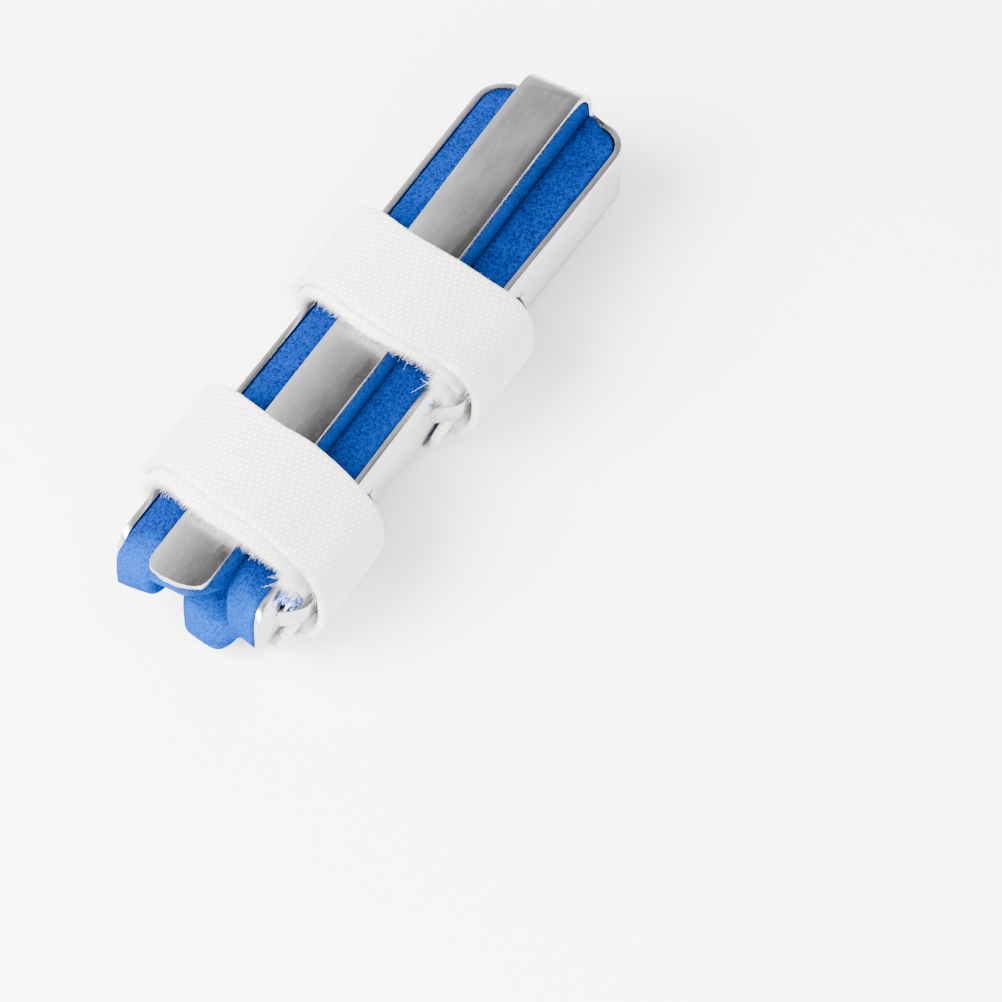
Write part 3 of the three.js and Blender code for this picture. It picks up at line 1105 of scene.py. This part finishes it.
@dataclass
class Studio:
    """Floor, soft lights and the camera at the photograph's angle."""

    azimuth: float = -58.92
    elevation: float = 49.29
    roll: float = -0.62
    distance: float = 0.7143
    focal_px: float = 5779.0
    image_px: float = 1002.0
    target: tuple[float, float, float] = (0.0005, 0.000216, 0.0119)
    target_px: tuple[float, float] = (371.33, 371.55)
    sensor: float = 36.0
    floor_radius: float = 3000.0
    lamp_size: float = 0.7
    lamps: tuple[tuple[str, tuple[float, float, float], float], ...] = (
        ("soft_near", (-0.45, -0.5, 0.75), 28.0),
        ("soft_left", (-0.65, 0.35, 0.7), 82.0),
    )
    sky_strength: float = 2.7
    dark_way: tuple[float, float, float] = (0.5, -0.55, 0.67)
    sky_stops: tuple[tuple[float, tuple[float, float, float]], ...] = (
        (0.02, (1.0, 1.0, 1.0)),
        (0.90, (0.05, 0.05, 0.053)),
    )

    def camera(self) -> bpy.types.Object:
        """Makes the camera."""
        az, el, roll = (math.radians(v) for v in (self.azimuth, self.elevation, self.roll))
        look = Vector((-math.sin(az) * math.cos(el), math.cos(az) * math.cos(el), -math.sin(el)))
        right = Vector((math.cos(az), math.sin(az), 0.0))
        up = right.cross(look)
        right_rolled = math.cos(roll) * right + math.sin(roll) * up
        up_rolled = -math.sin(roll) * right + math.cos(roll) * up
        data = bpy.data.cameras.new("photo_camera")
        camera = bpy.data.objects.new("photo_camera", data)
        bpy.context.scene.collection.objects.link(camera)
        turn = Matrix((right_rolled, up_rolled, -look)).transposed()
        camera.matrix_world = Matrix.Translation(Vector(self.target) - look * self.distance) @ turn.to_4x4()
        data.sensor_width = self.sensor
        data.lens = self.sensor * self.focal_px / self.image_px
        data.shift_x = (self.image_px / 2 - self.target_px[0]) / self.image_px
        data.shift_y = -(self.image_px / 2 - self.target_px[1]) / self.image_px
        data.clip_start, data.clip_end = 0.01, 20.0
        bpy.context.scene.camera = camera
        return camera

    def floor(self) -> bpy.types.Object:
        """Makes the floor."""
        ring = np.linspace(0, 2 * np.pi, 65)[:-1]
        x, y = np.cos(ring) * self.floor_radius, np.sin(ring) * self.floor_radius
        points = np.stack([x, y, np.zeros(len(ring))], axis=-1)
        piece = new_piece("pale_floor", points, [tuple(range(len(ring)))], FloorFinish().make())
        return piece

    def lamp(self, name: str, spot: tuple[float, float, float], power: float) -> None:
        """Makes a square soft light that faces the splint.

        Args:
            name: The light's name.
            spot: Where it stands, in metres.
            power: Its power in watts.
        """
        data = bpy.data.lights.new(name, "AREA")
        data.energy, data.size = power, self.lamp_size
        lamp = bpy.data.objects.new(name, data)
        bpy.context.scene.collection.objects.link(lamp)
        lamp.location = spot
        lamp.rotation_euler = (Vector(self.target) - Vector(spot)).to_track_quat("-Z", "Y").to_euler()

    def sky(self) -> None:
        """Makes a pale surrounding that grows darker towards one side, high up."""
        world = bpy.data.worlds.new("pale_room")
        bpy.context.scene.world = world
        world.use_nodes = True
        tree = world.node_tree
        tree.nodes.clear()
        where = tree.nodes.new("ShaderNodeTexCoord")
        dot = tree.nodes.new("ShaderNodeVectorMath")
        dot.operation = "DOT_PRODUCT"
        dot.inputs[1].default_value = Vector(self.dark_way).normalized()
        ramp = tree.nodes.new("ShaderNodeValToRGB")
        for element, (at, colour) in zip(ramp.color_ramp.elements, self.sky_stops):
            element.position = at
            element.color = (*colour, 1)
        back = tree.nodes.new("ShaderNodeBackground")
        back.inputs["Strength"].default_value = self.sky_strength
        out = tree.nodes.new("ShaderNodeOutputWorld")
        tree.links.new(where.outputs["Generated"], dot.inputs[0])
        tree.links.new(dot.outputs["Value"], ramp.inputs[0])
        tree.links.new(ramp.outputs[0], back.inputs["Color"])
        tree.links.new(back.outputs[0], out.inputs["Surface"])

    def build(self) -> None:
        """Makes the whole surrounding."""
        self.camera()
        self.floor()
        self.sky()
        for name, spot, power in self.lamps:
            self.lamp(name, spot, power)


def main() -> None:
    """Builds the splint's pieces in order."""
    logging.basicConfig(level=logging.INFO, format="%(name)s: %(message)s")
    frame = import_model()
    layout = Layout()
    Studio().build()
    LOG.info("made the studio")
    cage = Cage(layout).build(frame["nodes"]["cage"])
    LOG.info("made %s", cage.name)
    for pad in FoamLining(layout).build():
        LOG.info("made %s", pad.name)
    band, fibre = StrapFinish().make(), FibreFinish().make()
    straps = (
        Strap(layout, "strap_rear", bridge_at=18.9, lean=1.5, drift=0.7, seed=101, inner_back=1.1),
        Strap(layout, "strap_front", bridge_at=55.7, lean=3.9, drift=0.4, seed=202),
    )
    for strap in straps:
        for piece in strap.build(band, fibre):
            LOG.info("made %s", piece.name)
    for piece in TornFoam(layout).build(fibre):
        LOG.info("made %s", piece.name)


if __name__ == "__main__":
    main()
